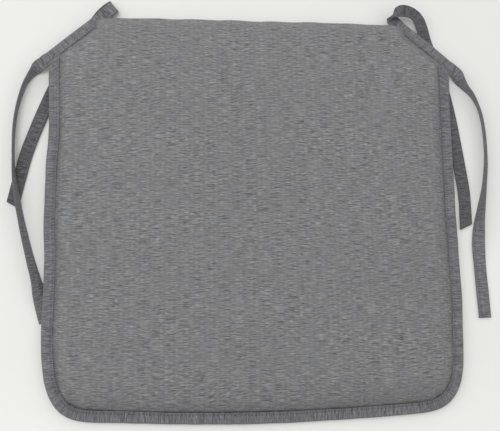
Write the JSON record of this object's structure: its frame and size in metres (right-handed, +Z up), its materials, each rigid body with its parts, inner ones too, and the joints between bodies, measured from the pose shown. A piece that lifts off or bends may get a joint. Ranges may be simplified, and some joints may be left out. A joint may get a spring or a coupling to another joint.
{
  "type": "chair seat pad",
  "caption": "Thin square foam seat pad with a folded cloth cover, a tape-bound edge, cut-off rear corners and free fabric ties for fastening it to a chair back.",
  "frame": {"origin": "on the surface the pad lies on, under the middle of the pad between its front edge and its rear edge", "axes": "+X across the pad to its right side, +Y towards its rear edge with the ties, +Z up out of the sitting face"},
  "size_m": [0.4728, 0.4112, 0.0182],
  "materials": {
    "cover_cloth": "plain woven mid-grey slub cloth, matt",
    "binding_tape": "the same cloth cut as tape and folded, matt",
    "sewing_thread": "dark grey sewing thread, slight sheen",
    "foam": "off-white open-cell foam"
  },
  "bodies": {
    "root": {"foam_core": "foam", "cover": "cover_cloth", "edge_binding": "binding_tape", "edge_needle_thread": "sewing_thread", "edge_bobbin_thread": "sewing_thread", "left_corner_binding": "binding_tape", "right_corner_binding": "binding_tape", "left_corner_needle_thread": "sewing_thread", "right_corner_needle_thread": "sewing_thread", "left_corner_bobbin_thread": "sewing_thread", "right_corner_bobbin_thread": "sewing_thread", "left_side_tie": "binding_tape", "left_side_tie_needle_thread": "sewing_thread", "left_side_tie_bobbin_thread": "sewing_thread", "left_rear_tie": "binding_tape", "left_rear_tie_needle_thread": "sewing_thread", "left_rear_tie_bobbin_thread": "sewing_thread", "right_side_tie": "binding_tape", "right_side_tie_needle_thread": "sewing_thread", "right_side_tie_bobbin_thread": "sewing_thread", "right_rear_tie": "binding_tape", "right_rear_tie_needle_thread": "sewing_thread", "right_rear_tie_bobbin_thread": "sewing_thread"}
  },
  "joints": []
}
